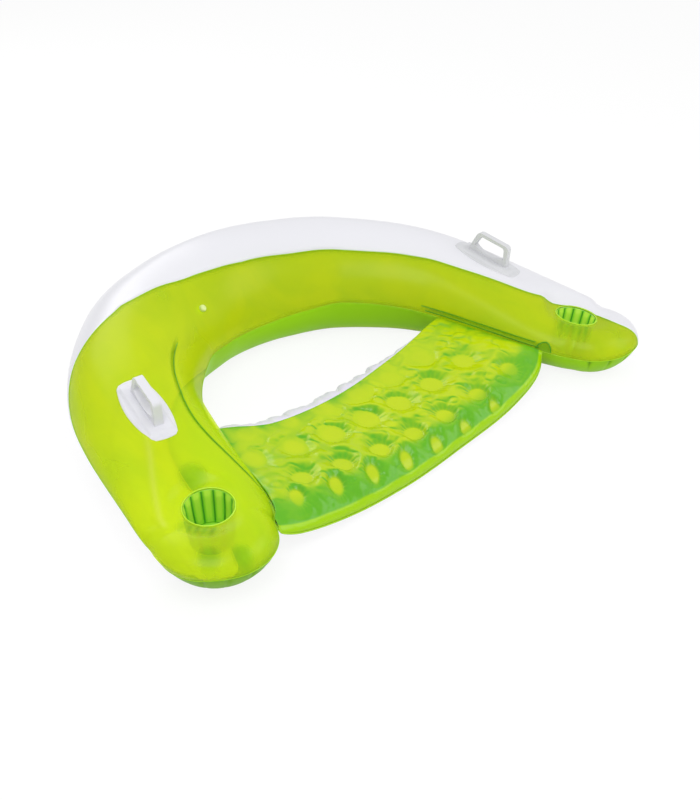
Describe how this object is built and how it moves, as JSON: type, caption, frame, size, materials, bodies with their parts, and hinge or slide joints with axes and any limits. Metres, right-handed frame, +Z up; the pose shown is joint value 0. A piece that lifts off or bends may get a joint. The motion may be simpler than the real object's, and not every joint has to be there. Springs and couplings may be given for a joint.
{
  "type": "inflatable pool chair",
  "caption": "Floating lounge chair: U shaped air ring with a cup well and a grip on each arm, and a dimpled air seat between the arms.",
  "frame": {"origin": "middle of the bounding box in plan, on the floor that the ring lies on", "axes": "+X across the arms towards the arm on the right of the picture, +Z up, -Y towards the arm tips and the open front"},
  "size_m": [1.5208, 1.0154, 0.2978],
  "materials": {
    "lime_film": "glossy lime green vinyl film",
    "white_film": "glossy white vinyl film",
    "inner_wall_film": "glossy mid green vinyl film",
    "bottom_film": "glossy white vinyl film",
    "seat_film": "glossy lime green vinyl film, welded in discs",
    "seat_underside_film": "glossy white vinyl film",
    "weld_bead": "welded vinyl bead",
    "cup_film": "glossy deep green vinyl film, pleated",
    "handle_white": "satin soft vinyl",
    "handle_grey": "satin soft vinyl",
    "valve_vinyl": "clear white soft vinyl",
    "valve_soft_vinyl": "clear white soft vinyl"
  },
  "bodies": {
    "chair": {"ring_top_panel": "lime_film", "ring_outer_panel": "white_film", "ring_inner_wall": "inner_wall_film", "ring_bottom_panel": "bottom_film", "ring_top_weld": "weld_bead", "ring_floor_weld": "bottom_film", "cup_rim_left": "weld_bead", "cup_wall_left": "cup_film", "cup_floor_left": "cup_film", "cup_rim_right": "weld_bead", "cup_wall_right": "cup_film", "cup_floor_right": "cup_film", "handle_patch_left": "handle_white", "handle_grip_left": "handle_white", "handle_patch_right": "handle_grey", "handle_grip_right": "handle_grey", "seat_top_sheet": "seat_film", "seat_bottom_sheet": "seat_underside_film", "seat_rim_weld": "weld_bead", "seat_join_left": "weld_bead", "seat_join_right": "weld_bead", "ring_valve_collar": "valve_vinyl", "seat_valve_collar": "valve_vinyl"},
    "ring_valve_stem": {"ring_valve_stem": "valve_vinyl"},
    "ring_valve_plug": {"ring_valve_plug": "valve_soft_vinyl"},
    "ring_valve_flap": {"ring_valve_flap": "valve_soft_vinyl"},
    "seat_valve_stem": {"seat_valve_stem": "valve_vinyl"},
    "seat_valve_plug": {"seat_valve_plug": "valve_soft_vinyl"},
    "seat_valve_flap": {"seat_valve_flap": "valve_soft_vinyl"}
  },
  "joints": [
    {"name": "ring_valve_pull", "type": "slide", "parent": "chair", "child": "ring_valve_stem", "axis": [0.2629, -0.6827, 0.6817], "range_m": [0, 0.01]},
    {"name": "ring_valve_plug_hinge", "type": "hinge", "parent": "ring_valve_stem", "child": "ring_valve_plug", "pos_m": [-0.2017, 0.20198, 0.22537], "axis": [0.2677, -0.6272, -0.7314], "range_deg": [0, 150]},
    {"name": "ring_valve_flap_hinge", "type": "hinge", "parent": "ring_valve_stem", "child": "ring_valve_flap", "pos_m": [-0.20581, 0.21878, 0.20946], "axis": [-0.2677, 0.6272, 0.7314], "range_deg": [0, 50]},
    {"name": "seat_valve_pull", "type": "slide", "parent": "chair", "child": "seat_valve_stem", "axis": [0.1778, 0.0338, -0.9835], "range_m": [0, 0.01]},
    {"name": "seat_valve_plug_hinge", "type": "hinge", "parent": "seat_valve_stem", "child": "seat_valve_plug", "pos_m": [0.27921, -0.12455, 0.02806], "axis": [0.9662, 0.1835, 0.181], "range_deg": [0, 150]},
    {"name": "seat_valve_flap_hinge", "type": "hinge", "parent": "seat_valve_stem", "child": "seat_valve_flap", "pos_m": [0.27546, -0.12751, 0.05108], "axis": [-0.9662, -0.1835, -0.181], "range_deg": [0, 50]}
  ]
}
